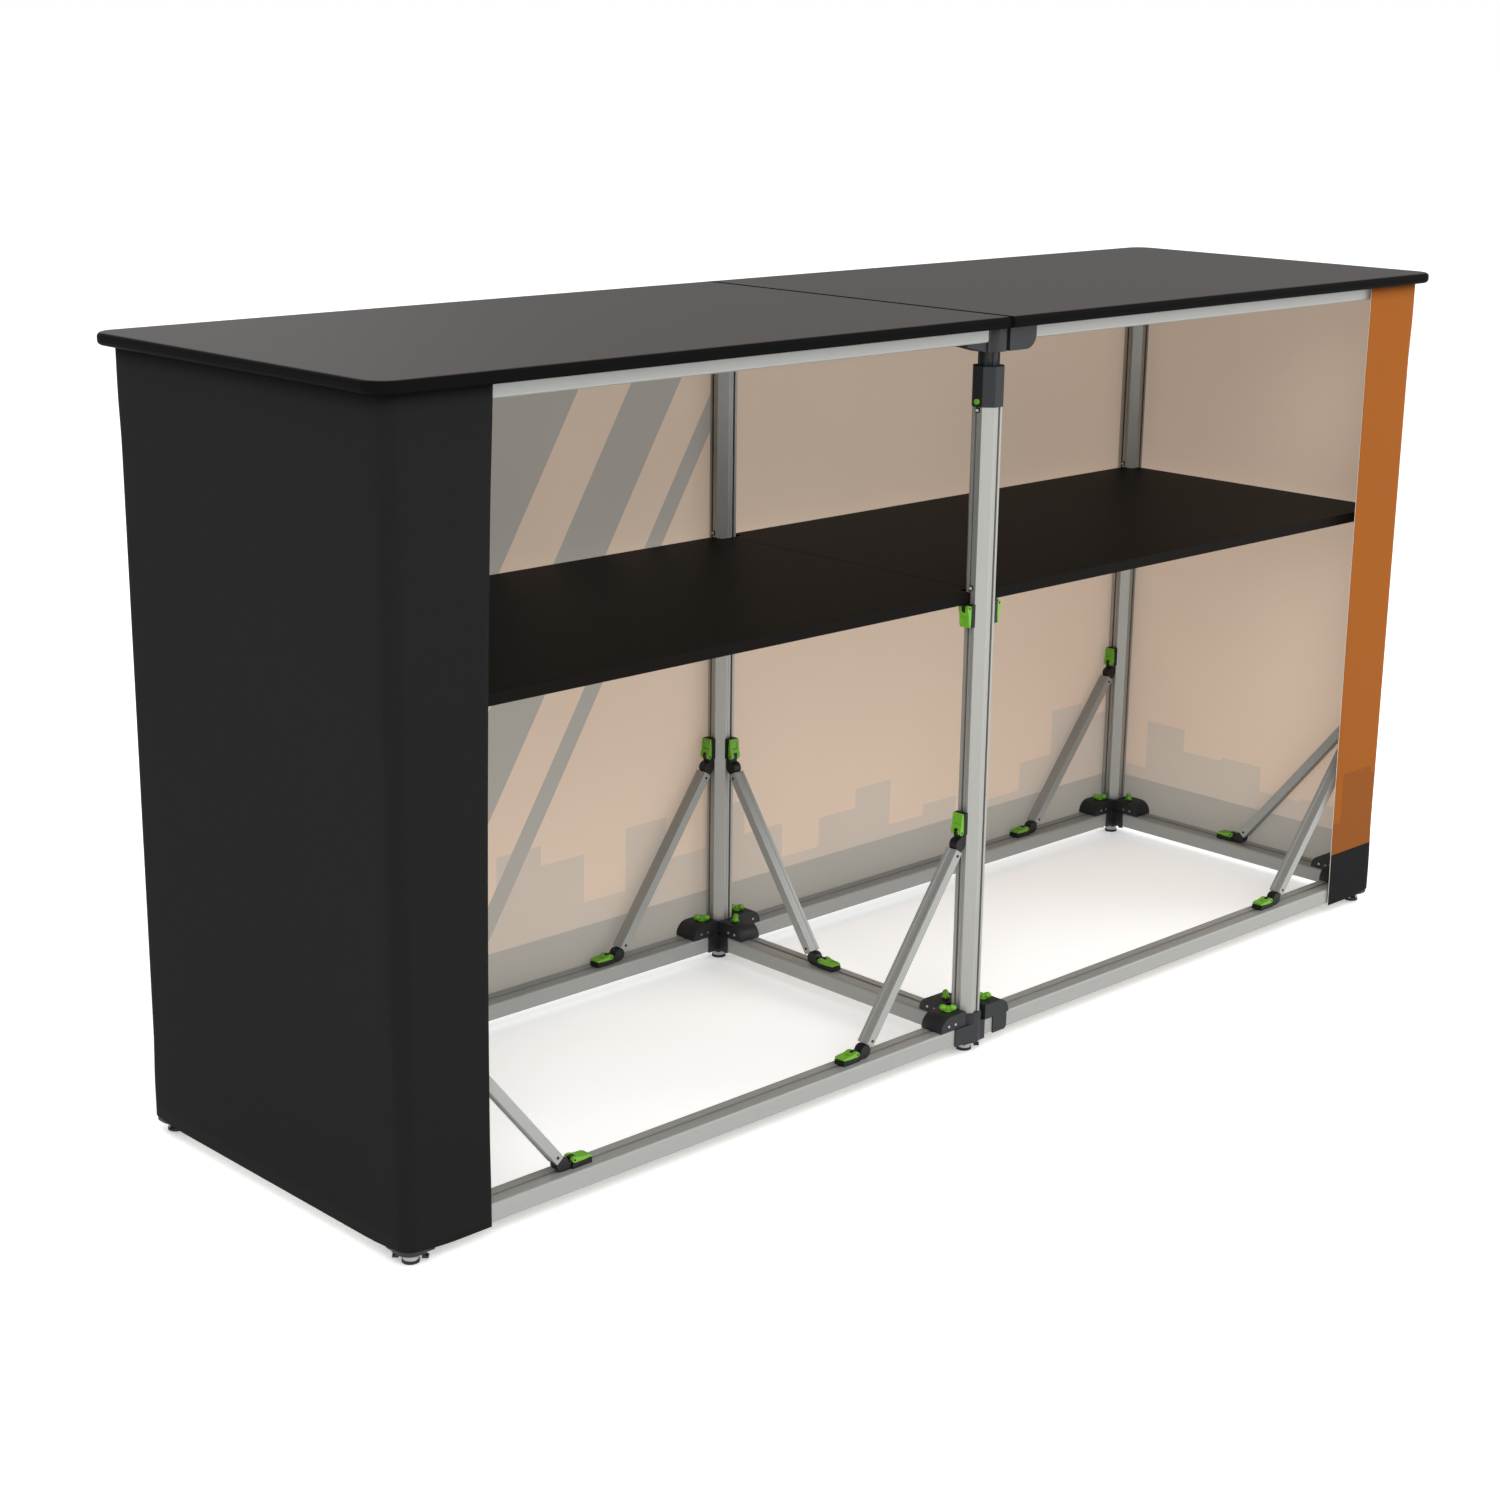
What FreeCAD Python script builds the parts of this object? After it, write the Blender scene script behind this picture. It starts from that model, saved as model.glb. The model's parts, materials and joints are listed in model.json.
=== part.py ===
"""Exhibition counter: a slotted aluminium frame with two tops, two shelves and a stretched fabric skin.

Millimetres. The origin is on the floor under the middle of the counter, +Z is up, +X runs along the
counter, -Y is the open side where the operator stands and +Y is the side that faces the visitors.
"""
import FreeCAD, Part
import os

doc = FreeCAD.newDocument("exhibition_counter")
sizes = doc.addObject("Spreadsheet::Sheet", "sizes")

DRIVING_SIZES = {
    # Frame grid: three posts along X and two along Y.
    "pitch_x": 1000,
    "pitch_y": 524,
    "counter_height": 1066,
    # Two worktops that meet over the middle posts.
    "top_length": 1044,
    "top_depth": 604,
    "top_thickness": 16,
    "top_corner_radius": 32,
    "top_edge_radius": 6,
    "seam_gap": 0.5,
    # Octagonal posts with an undercut slot in four of the eight flats.
    "post_width": 40,
    "post_bottom": 62,
    "post_bore": 16,
    "slot_mouth": 9,
    "slot_lip": 2.5,
    "slot_channel": 14,
    "slot_depth": 7,
    # Beams along the floor and rails under the tops.
    "beam_width": 40,
    "beam_height": 26,
    "beam_bottom": 20,
    "beam_edge_radius": 4,
    "rail_width": 34,
    "rail_height": 20,
    # Moulded nodes that join posts, beams and rails.
    "node_width": 44,
    "node_corner_radius": 18,
    "node_bottom": 16,
    "hood_reach": 50,
    "hood_width": 39,
    "hood_height": 22,
    "hood_corner_radius": 21,
    "lap_length": 22,
    "flank_notch": 16,
    "flank_reach": 46,
    "flank_corner_radius": 6,
    "spigot_length": 30,
    "spigot_clearance": 0.1,
    "hook_place": 14,
    "hook_width": 8,
    "hook_thickness": 4,
    "hook_toe": 8,
    "hook_toe_height": 3,
    "hook_bottom": 6,
    "lip_length": 40,
    "lip_width": 30,
    "lip_thickness": 13,
    "lip_end_thickness": 3,
    "ear_length": 50,
    "ear_corner_radius": 20,
    "neck_diameter": 28,
    "neck_length": 20,
    "sleeve_width": 42,
    "sleeve_height": 55,
    # Levelling feet.
    "pad_diameter": 22,
    "pad_height": 4,
    "stem_diameter": 20,
    # Wing knobs that lock the beams.
    "knob_reach": 38,
    "knob_flange_diameter": 13,
    "knob_flange_height": 1.5,
    "knob_wing_length": 25,
    "knob_wing_thickness": 5,
    "knob_wing_height": 7,
    "knob_stem_diameter": 6,
    "knob_stem_length": 14,
    "knob_clearance": 0.1,
    "running_gap": 0.3,
    # Push buttons in the sleeves.
    "button_diameter": 7.5,
    "button_length": 13,
    "button_proud": 3,
    "button_travel": 3,
    "button_height": 7,
    "button_clearance": 0.1,
    # Shelves, notched round the posts.
    "shelf_top": 684,
    "shelf_thickness": 16,
    "shelf_clearance": 0.5,
    # Lever clamps, the same on braces and under shelves.
    "clamp_width": 19,
    "clamp_length": 32,
    "clamp_thickness": 7,
    "lug_width": 6.4,
    "lug_half_length": 4,
    "lug_gap": 0.3,
    "pivot_offset": 12,
    "pivot_height": 4,
    "cheek_radius": 3.7,
    "pin_diameter": 3.2,
    "pin_clearance": 0.1,
    "lever_width": 18,
    "lever_length": 28,
    "lever_thickness": 4.8,
    "lever_slot_length": 6.4,
    # Braces from the posts down to the beams, all one length: those on corner posts are set a little lower.
    "brace_width": 20,
    "brace_depth": 14,
    "brace_groove_width": 8,
    "brace_groove_depth": 1,
    "brace_end_gap": 0.2,
    "brace_clamp_height": 350,
    "brace_clamp_reach": 246,
    "corner_clamp_height": 337,
    "knuckle_offset": 30,
    "knuckle_height": 10,
    "knuckle_radius": 9.5,
    "knuckle_width": 14,
    # Fabric skin stretched round the outside.
    "skin_gap": 0.3,
    "skin_thickness": 1.2,
    "skin_bottom": 16,
    "skin_top_gap": 0.5,
    "skin_return": 110,
}
for row, (alias, value) in enumerate(DRIVING_SIZES.items(), start=1):
    sizes.set(f"A{row}", alias)
    sizes.set(f"B{row}", str(value))
    sizes.setAlias(f"B{row}", alias)
doc.recompute()

# Places worked out from the driving sizes, as expressions.
HALF_PITCH_Y = "sizes.pitch_y / 2"
POST_HALF = "sizes.post_width / 2"
NODE_HALF = "sizes.node_width / 2"
BEAM_TOP = "(sizes.beam_bottom + sizes.beam_height)"
HOOD_TOP = f"({BEAM_TOP} + sizes.hood_height)"
TOP_UNDERSIDE = "(sizes.counter_height - sizes.top_thickness)"
RAIL_BOTTOM = f"({TOP_UNDERSIDE} - sizes.rail_height)"
BRACKET_BOTTOM = f"({RAIL_BOTTOM} - sizes.lip_thickness)"
SLEEVE_TOP = f"({BRACKET_BOTTOM} - sizes.neck_length)"
POST_TOP = f"({SLEEVE_TOP} - sizes.sleeve_height)"
SHELF_UNDERSIDE = "(sizes.shelf_top - sizes.shelf_thickness)"
SKIN_HALF = f"({NODE_HALF} + sizes.skin_gap)"
PIVOT_OUT = "(sizes.clamp_thickness + sizes.pivot_height)"
BRACE_RUN = f"(sizes.brace_clamp_reach - sizes.knuckle_offset - {POST_HALF} - sizes.knuckle_height)"
BRACE_DROP = f"(sizes.brace_clamp_height - sizes.knuckle_offset - {BEAM_TOP} - sizes.knuckle_height)"
BRACE_SPAN = f"sqrt({BRACE_RUN} ^ 2 + {BRACE_DROP} ^ 2)"
CORNER_DROP = f"(sizes.corner_clamp_height - sizes.knuckle_offset - {BEAM_TOP} - sizes.knuckle_height)"
CORNER_RUN = f"sqrt({BRACE_RUN} ^ 2 + {BRACE_DROP} ^ 2 - {CORNER_DROP} ^ 2)"
CORNER_REACH = f"({CORNER_RUN} + sizes.knuckle_offset + {POST_HALF} + sizes.knuckle_height)"

# Each post's place: its column along X, its row along Y.
COLUMNS = {"left": "-sizes.pitch_x", "middle": "0", "right": "sizes.pitch_x"}
ROWS = {"back": f"-{HALF_PITCH_Y}", "front": HALF_PITCH_Y}
# Corner nodes have two arms, along +X and +Y before the node is turned.
CORNER_ARM_TURNS = (0, 90)
CORNER_TURN = {"left_back": 0, "right_back": 90, "right_front": 180, "left_front": 270}
# Middle nodes have three arms, along +X, +Y and -X before the node is turned.
MIDDLE_ARM_TURNS = (0, 90, 180)
MIDDLE_TURN = {"middle_back": 0, "middle_front": 180}
# Braces: the post that each leaves and the way it leans, as a turn from +X.
BRACES = {
    "left_back_along": ("left", "back", 0),
    "middle_back_along": ("middle", "back", 180),
    "middle_front_along": ("middle", "front", 180),
    "right_back_along": ("right", "back", 180),
    "right_front_along": ("right", "front", 180),
    "left_back_across": ("left", "back", 90),
    "middle_front_across": ("middle", "front", 270),
    "right_back_across": ("right", "back", 90),
}
# A brace's setting on each kind of post: upper clamp's height, lower clamp's reach, strut's run and drop.
BRACE_SETTINGS = {
    "middle": ("sizes.brace_clamp_height", "sizes.brace_clamp_reach", BRACE_RUN, BRACE_DROP),
    "corner": ("sizes.corner_clamp_height", CORNER_REACH, CORNER_RUN, CORNER_DROP),
}
# Shelf clamps: the post that each sits on and the way it faces.
SHELF_CLAMPS = {
    "left_back": ("left", "back", 0),
    "left_front": ("left", "front", 0),
    "middle_back_left": ("middle", "back", 180),
    "middle_back_right": ("middle", "back", 0),
    "middle_front_left": ("middle", "front", 180),
    "middle_front_right": ("middle", "front", 0),
    "right_back": ("right", "back", 180),
    "right_front": ("right", "front", 180),
}
# A post's eight sides, the turn that brings a flat to face along X, and the flats with slots.
POST_SIDES = 8
FLAT_TURN = 180 / POST_SIDES
SLOT_TURNS = (0, 90, 180, 270)
# A node's hooks from its first arm, and a knob's wings from its arm.
HOOK_TURNS = (135, 315)
WING_TURN = -45
PARALLEL = 1e-6
X_AXIS = FreeCAD.Vector(1, 0, 0)
Y_AXIS = FreeCAD.Vector(0, 1, 0)
Z_AXIS = FreeCAD.Vector(0, 0, 1)
NODES = []


def place(item, x="0", y="0", z="0", axis=Z_AXIS, angle=0):
    """Turn a piece about an axis through its own origin and move it to a place given by expressions."""
    item.Placement = FreeCAD.Placement(FreeCAD.Vector(), FreeCAD.Rotation(axis, angle))
    for name, value in zip("xyz", (x, y, z)):
        item.setExpression(f"Placement.Base.{name}", value)
    return item


def bind(kind, name, properties):
    """Add an object whose listed properties follow expressions."""
    item = doc.addObject(kind, name)
    for key, value in properties.items():
        item.setExpression(key, value)
    return item


def box(name, length, width, height, x="0", y="0", z="0"):
    """A block centred on y, from x and z upwards."""
    item = bind("Part::Box", name, {"Length": length, "Width": width, "Height": height})
    return place(item, x, f"({y}) - ({width}) / 2", z)


def cylinder(name, diameter, height, x="0", y="0", z="0", axis=Z_AXIS, angle=0):
    """A round bar that starts at the given place, along Z unless it is turned."""
    item = bind("Part::Cylinder", name, {"Radius": f"({diameter}) / 2", "Height": height})
    return place(item, x, y, z, axis, angle)


def cross_bar(name, diameter, width, x="0", z="0"):
    """A round bar along Y, centred on y."""
    return cylinder(name, diameter, width, x, f"({width}) / 2", z, X_AXIS, 90)


def octagon(name, width, height, z):
    """An eight-sided bar whose flats face along X and Y."""
    reach = f"({width}) / 2 / cos({FLAT_TURN} deg)"
    outline = bind("Part::RegularPolygon", name + "_outline", {"Circumradius": reach})
    outline.Polygon = POST_SIDES
    outline.Placement.Rotation = FreeCAD.Rotation(Z_AXIS, FLAT_TURN)
    item = bind("Part::Extrusion", name, {"LengthFwd": height})
    item.Base = outline
    item.DirMode = "Normal"
    item.Solid = True
    return place(item, z=z)


def fuse(name, pieces):
    item = doc.addObject("Part::MultiFuse", name)
    item.Shapes = pieces
    item.Refine = True
    return item


def cut(name, base, tool):
    item = doc.addObject("Part::Cut", name)
    item.Base = base
    item.Tool = tool
    return item


def copy(name, master, x="0", y="0", z="0", axis=Z_AXIS, angle=0):
    """Another of the same piece, turned and moved."""
    item = doc.addObject("Part::Compound", name)
    item.Links = [master]
    return place(item, x, y, z, axis, angle)


def node(label, pieces):
    """A named sub-part: one piece, or a group of separate like pieces."""
    item = doc.addObject("Part::Compound", label)
    item.Label = label
    item.Links = pieces
    NODES.append(item)
    return item


def round_edges(name, base, radius, wanted):
    """Round the edges that the test picks."""
    doc.recompute()
    item = doc.addObject("Part::Fillet", name)
    item.Base = base
    item.Edges = [(i, radius, radius) for i, edge in enumerate(base.Shape.Edges, start=1) if wanted(edge)]
    return item


def runs_along(edge, axis):
    """Whether an edge is straight and parallel to an axis."""
    return isinstance(edge.Curve, Part.Line) and edge.Curve.Direction.cross(axis).Length < PARALLEL


def is_upright(edge):
    return runs_along(edge, Z_AXIS)


def at_each_post(name, master):
    """A copy of a piece at each of the six posts."""
    return [
        copy(f"{name}_{column}_{row}", master, x, y)
        for column, x in COLUMNS.items()
        for row, y in ROWS.items()
    ]


def slot_cutter(name, length, z):
    """The undercut slot of a profile, opening along +X at x = 0 and running up from z."""
    depth = "sizes.slot_depth - sizes.slot_lip"
    mouth = box(name + "_mouth", "sizes.slot_lip * 2", "sizes.slot_mouth", length, "-sizes.slot_lip", z=z)
    channel = box(name + "_channel", depth, "sizes.slot_channel", length, "-sizes.slot_depth", z=z)
    return fuse(name, [mouth, channel])


def posts():
    height = f"({POST_TOP} - sizes.post_bottom)"
    bar = octagon("post_bar", "sizes.post_width", height, "sizes.post_bottom")
    slot = slot_cutter("post_slot", height, "sizes.post_bottom")
    flush = copy("post_slot_on_flat", slot, POST_HALF)
    cutters = [copy(f"post_slot_{turn}", flush, angle=turn) for turn in SLOT_TURNS]
    cutters.append(cylinder("post_bore_cut", "sizes.post_bore", height, z="sizes.post_bottom"))
    tools = doc.addObject("Part::Compound", "post_cutters")
    tools.Links = cutters
    profile = cut("post_profile", bar, tools)
    node("posts", at_each_post("post", profile))


def profile_bar(name, length, width, height):
    """A bar along +X from the origin with rounded long edges and an undercut slot in its top."""
    blank = box(name + "_blank", length, width, height)
    rounded = round_edges(name + "_rounded", blank, sizes.get("beam_edge_radius"),
                          lambda edge: runs_along(edge, X_AXIS))
    slot = slot_cutter(name + "_slot", length, "0")
    upright = copy(name + "_slot_on_top", slot, z=height, axis=Y_AXIS, angle=-90)
    turned = copy(name + "_slot_along", upright, x=length)
    return cut(name, rounded, turned)


def frame_bars(label, width, height, bottom):
    """Four bars along the counter and three across it, between the faces of the corner nodes."""
    long_bar = profile_bar(label + "_long", "sizes.pitch_x - sizes.node_width", width, height)
    cross_bar_piece = profile_bar(label + "_cross", "sizes.pitch_y - sizes.node_width", width, height)
    bars = []
    for row, y in ROWS.items():
        bars.append(copy(f"{label}_left_{row}", long_bar, f"-sizes.pitch_x + {NODE_HALF}", y, bottom))
        bars.append(copy(f"{label}_right_{row}", long_bar, NODE_HALF, y, bottom))
    for column, x in COLUMNS.items():
        start = f"-{HALF_PITCH_Y} + {NODE_HALF}"
        bars.append(copy(f"{label}_across_{column}", cross_bar_piece, x, start, bottom, angle=90))
    node(label, bars)


def round_far_edge(name, blank, radius, upper):
    """Round the upper or lower edge at a block's far end along +X."""
    doc.recompute()
    middle = blank.Shape.CenterOfMass

    def wanted(edge):
        centre = edge.CenterOfMass
        return runs_along(edge, Y_AXIS) and centre.x > middle.x and (centre.z > middle.z) == upper

    return round_edges(name, blank, radius, wanted)


def hood_block(name, width, y="0"):
    """A round-ended block over the end of a beam along +X."""
    blank = box(name + "_blank", f"{NODE_HALF} + sizes.hood_reach - {POST_HALF}", width,
                "sizes.hood_height", POST_HALF, y, BEAM_TOP)
    return round_far_edge(name, blank, sizes.get("hood_corner_radius"), upper=True)


def connector_arm():
    """A hood over the end of a beam, bored for its wing knob."""
    bore = cylinder("knob_bore", "sizes.knob_stem_diameter + sizes.knob_clearance * 2",
                    "sizes.knob_stem_length", "sizes.knob_reach",
                    z=f"{HOOD_TOP} - sizes.knob_stem_length")
    return cut("connector_arm", hood_block("hood", "sizes.hood_width"), bore)


def node_block(name, z, height):
    """The square middle of a moulded node, with round upright corners."""
    blank = box(name + "_blank", "sizes.node_width", "sizes.node_width", height, f"-{NODE_HALF}", z=z)
    return round_edges(name, blank, sizes.get("node_corner_radius"), is_upright)


def shoes(name, width, z, height, turns):
    """Square ends that fill the node's round corners where the bars meet it."""
    shoe = box(name, NODE_HALF, width, height, z=z)
    return [copy(f"{name}_{turn}", shoe, angle=turn) for turn in turns]


def connector_cheeks():
    """Outside a middle node's long arms: a strip that widens one hood, and a cheek beside each beam."""
    strip = f"({NODE_HALF} - sizes.hood_width / 2)"
    wide_hood = hood_block("flank_hood", strip, f"-{NODE_HALF} + {strip} / 2")
    lap = f"({NODE_HALF} - sizes.beam_width / 2)"
    flank = box("flank_blank", "sizes.flank_reach - sizes.flank_notch", lap, "sizes.beam_height",
                f"{NODE_HALF} + sizes.flank_notch", f"-{NODE_HALF} + {lap} / 2", "sizes.beam_bottom")
    flank = round_far_edge("flank", flank, sizes.get("flank_corner_radius"), upper=False)
    cheek = box("cheek", f"{NODE_HALF} + sizes.lap_length", lap, "sizes.beam_height",
                y=f"{NODE_HALF} - {lap} / 2", z="sizes.beam_bottom")
    return [wide_hood, flank, copy("cheek_on_left", cheek, angle=180)]


def bracket_ear():
    """Outside a middle bracket's arm along +X: a cheek beside the rail."""
    lap = f"({NODE_HALF} - sizes.rail_width / 2)"
    blank = box("ear_blank", f"{lap} + sizes.ear_length", lap, f"{TOP_UNDERSIDE} - {BRACKET_BOTTOM}",
                f"{NODE_HALF} - {lap}", f"-{NODE_HALF} + {lap} / 2", BRACKET_BOTTOM)
    return [round_far_edge("ear", blank, sizes.get("ear_corner_radius"), upper=False)]


def connector(name, arm, turns, extras=()):
    """A moulded foot node: a block with a spigot for the post, two hooks below and its arms."""
    block = node_block(name + "_block", "sizes.node_bottom", "sizes.post_bottom - sizes.node_bottom")
    ends = shoes(name + "_shoe", "sizes.beam_width", "sizes.node_bottom",
                 f"{BEAM_TOP} - sizes.node_bottom", turns)
    spigot = cylinder(name + "_spigot", "sizes.post_bore - sizes.spigot_clearance * 2",
                      "sizes.spigot_length", z="sizes.post_bottom")
    peg = box(name + "_peg", "sizes.hook_thickness", "sizes.hook_width",
              "sizes.node_bottom - sizes.hook_bottom", "sizes.hook_place", z="sizes.hook_bottom")
    toe = box(name + "_toe", "sizes.hook_toe", "sizes.hook_width", "sizes.hook_toe_height",
              "sizes.hook_place", z="sizes.hook_bottom")
    hook = fuse(name + "_hook", [peg, toe])
    hooks = [copy(f"{name}_hook_{turn}", hook, angle=turn) for turn in HOOK_TURNS]
    arms = [copy(f"{name}_arm_{turn}", arm, angle=turn) for turn in turns]
    return fuse(name, [block, spigot] + ends + hooks + arms + list(extras))


def bracket(name, turns, extras=()):
    """A moulded head node: a block between the rails, a neck below and a tapered lip under each rail."""
    height = f"{TOP_UNDERSIDE} - {BRACKET_BOTTOM}"
    block = node_block(name + "_block", BRACKET_BOTTOM, height)
    ends = shoes(name + "_shoe", "sizes.rail_width", BRACKET_BOTTOM, height, turns)
    neck = cylinder(name + "_neck", "sizes.neck_diameter", "sizes.neck_length", z=SLEEVE_TOP)
    lip = bind("Part::Wedge", name + "_lip", {
        "Xmin": "0", "Xmax": "sizes.lip_width", "X2min": "0", "X2max": "sizes.lip_width",
        "Zmin": "0", "Zmax": "sizes.lip_thickness",
        "Z2min": "sizes.lip_thickness - sizes.lip_end_thickness", "Z2max": "sizes.lip_thickness",
        "Ymin": "0", "Ymax": "sizes.lip_length",
    })
    place(lip, NODE_HALF, "sizes.lip_width / 2", BRACKET_BOTTOM, angle=-90)
    lips = [copy(f"{name}_lip_{turn}", lip, angle=turn) for turn in turns]
    return fuse(name, [block, neck] + ends + lips + list(extras))


def at_nodes(name, corner, middle):
    """A copy of the corner or middle master at each of the six posts, turned to face its arms."""
    pieces = []
    for column, x in COLUMNS.items():
        for row, y in ROWS.items():
            key = f"{column}_{row}"
            master, turn = (middle, MIDDLE_TURN[key]) if column == "middle" else (corner, CORNER_TURN[key])
            pieces.append(copy(f"{name}_{key}", master, x, y, angle=turn))
    return pieces


def connectors():
    arm = connector_arm()
    corner = connector("corner_connector", arm, CORNER_ARM_TURNS)
    middle = connector("middle_connector", arm, MIDDLE_ARM_TURNS, connector_cheeks())
    node("base_connectors", at_nodes("base_connector", corner, middle))


def brackets():
    corner = bracket("corner_bracket", CORNER_ARM_TURNS)
    middle = bracket("middle_bracket", MIDDLE_ARM_TURNS, bracket_ear())
    node("top_brackets", at_nodes("top_bracket", corner, middle))


def sleeves():
    """Collars on the post ends; each is bored for its push button on the face that looks into a bay."""
    bar = octagon("sleeve_bar", "sizes.sleeve_width", "sizes.sleeve_height", POST_TOP)
    depth = "sizes.button_length - sizes.button_proud + sizes.button_travel"
    bore = cylinder("button_bore", "sizes.button_diameter + sizes.button_clearance * 2", depth,
                    "sizes.sleeve_width / 2", z=f"{POST_TOP} + sizes.button_height", axis=Y_AXIS, angle=-90)
    sleeve = cut("sleeve", bar, bore)
    button = cylinder("button", "sizes.button_diameter", "sizes.button_length",
                      "sizes.sleeve_width / 2 + sizes.button_proud",
                      z=f"{POST_TOP} + sizes.button_height", axis=Y_AXIS, angle=-90)
    pieces = []
    for column, x in COLUMNS.items():
        turn = 0 if column == "left" else 180
        for row, y in ROWS.items():
            pieces.append(copy(f"sleeve_{column}_{row}", sleeve, x, y, angle=turn))
            node(f"lock_button_{column}_{row}", [copy(f"button_{column}_{row}", button, x, y, angle=turn)])
    node("post_sleeves", pieces)


def knobs():
    """Wing knobs: a stem in the hood, a flange over it and two flat wings set askew to the arm."""
    seat = f"{HOOD_TOP} + sizes.running_gap"
    stem_length = "sizes.knob_stem_length - sizes.running_gap"
    stem = cylinder("knob_stem", "sizes.knob_stem_diameter", stem_length, z=f"{seat} - ({stem_length})")
    flange = cylinder("knob_flange", "sizes.knob_flange_diameter", "sizes.knob_flange_height", z=seat)
    wings = box("knob_wings", "sizes.knob_wing_length", "sizes.knob_wing_thickness",
                "sizes.knob_wing_height", "-sizes.knob_wing_length / 2",
                z=f"{seat} + sizes.knob_flange_height")
    knob = copy("knob", fuse("knob_body", [stem, flange, wings]), "sizes.knob_reach", angle=WING_TURN)
    arm_names = {0: "right", 90: "front", 180: "left", 270: "back"}
    for column, x in COLUMNS.items():
        for row, y in ROWS.items():
            key = f"{column}_{row}"
            is_middle = column == "middle"
            start = MIDDLE_TURN[key] if is_middle else CORNER_TURN[key]
            for arm in MIDDLE_ARM_TURNS if is_middle else CORNER_ARM_TURNS:
                turn = (start + arm) % 360
                piece = copy(f"knob_at_{key}_{turn}", knob, x, y, angle=turn)
                node(f"wing_knob_{key}_to_{arm_names[turn]}", [piece])


def feet():
    """A levelling foot under each node: a round pad and the stem that carries it."""
    stem = cylinder("stem", "sizes.stem_diameter", "sizes.node_bottom - sizes.pad_height",
                    z="sizes.pad_height")
    pad = cylinder("pad", "sizes.pad_diameter", "sizes.pad_height")
    node("foot_stems", at_each_post("foot_stem", stem))
    node("foot_pads", at_each_post("foot_pad", pad))


def tops():
    """The two worktops, with rounded outer corners and soft edges, square where they meet."""
    blank = box("top_blank", "sizes.top_length - sizes.seam_gap / 2", "sizes.top_depth",
                "sizes.top_thickness", "sizes.seam_gap / 2", z=TOP_UNDERSIDE)
    middle = sizes.get("top_length") / 2
    cornered = round_edges("top_cornered", blank, sizes.get("top_corner_radius"),
                           lambda edge: is_upright(edge) and edge.CenterOfMass.x > middle)
    soft = round_edges("top_soft", cornered, sizes.get("top_edge_radius"),
                       lambda edge: not is_upright(edge) and edge.BoundBox.XMax > middle)
    node("countertop_right", [copy("top_right", soft)])
    node("countertop_left", [copy("top_left", soft, angle=180)])


def shelves():
    """The two shelf boards: edges on the post centre lines, corners notched round the posts."""
    board = box("shelf_board", "sizes.pitch_x - sizes.seam_gap / 2", "sizes.pitch_y",
                "sizes.shelf_thickness", "sizes.seam_gap / 2", z=SHELF_UNDERSIDE)
    side = f"({POST_HALF} + sizes.shelf_clearance) * 2"
    notch = box("shelf_notch", side, side, "sizes.shelf_thickness", f"-({side}) / 2", z=SHELF_UNDERSIDE)
    tools = doc.addObject("Part::Compound", "shelf_notches")
    tools.Links = [
        copy(f"shelf_notch_{column}_{row}", notch, COLUMNS[column], y)
        for column in ("middle", "right")
        for row, y in ROWS.items()
    ]
    shelf = cut("shelf", board, tools)
    node("shelf_right", [copy("shelf_on_right", shelf)])
    node("shelf_left", [copy("shelf_on_left", shelf, angle=180)])


def clamp_masters():
    """A lever clamp on a face at x = 0 that looks along +X: its body, its lever and its pin."""
    body = box("clamp_body", "sizes.clamp_thickness", "sizes.clamp_width", "sizes.clamp_length",
               z="-sizes.clamp_length / 2")
    lug = box("clamp_lug", f"{PIVOT_OUT} + sizes.cheek_radius", "sizes.lug_width",
              "sizes.lug_half_length * 2", z="sizes.pivot_offset - sizes.lug_half_length")
    pin_hole = cross_bar("lug_hole", "sizes.pin_diameter", "sizes.lever_width", PIVOT_OUT,
                         "sizes.pivot_offset")
    plain = cut("shelf_clamp", fuse("clamp_with_lug", [body, lug]), pin_hole)
    knuckle = cross_bar("knuckle", "sizes.knuckle_radius * 2", "sizes.knuckle_width",
                        "sizes.knuckle_height", "sizes.knuckle_offset")
    neck = box("knuckle_neck", "sizes.knuckle_height", "sizes.knuckle_width",
               "sizes.knuckle_offset - sizes.clamp_length / 2", z="sizes.clamp_length / 2")
    with_knuckle = fuse("brace_clamp", [plain, knuckle, neck])
    pin = cross_bar("lever_pin", "sizes.pin_diameter", "sizes.lever_width", PIVOT_OUT,
                    "sizes.pivot_offset")
    under = f"{PIVOT_OUT} - sizes.cheek_radius"
    paddle = box("lever_paddle", "sizes.lever_thickness", "sizes.lever_width", "sizes.lever_length", under,
                 z="sizes.pivot_offset - sizes.lever_length")
    cheeks = cross_bar("lever_cheeks", "sizes.cheek_radius * 2", "sizes.lever_width", PIVOT_OUT,
                       "sizes.pivot_offset")
    reach = "sizes.lever_slot_length + sizes.cheek_radius"
    slot = box("lever_slot", "sizes.cheek_radius * 2", "sizes.lug_width + sizes.lug_gap * 2", reach, under,
               z="sizes.pivot_offset - sizes.lever_slot_length")
    bore = cross_bar("lever_bore", "sizes.pin_diameter + sizes.pin_clearance * 2", "sizes.lever_width",
                     PIVOT_OUT, "sizes.pivot_offset")
    lever = cut("lever", cut("lever_fork", fuse("lever_blank", [paddle, cheeks]), slot), bore)
    return plain, with_knuckle, lever, pin


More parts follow.
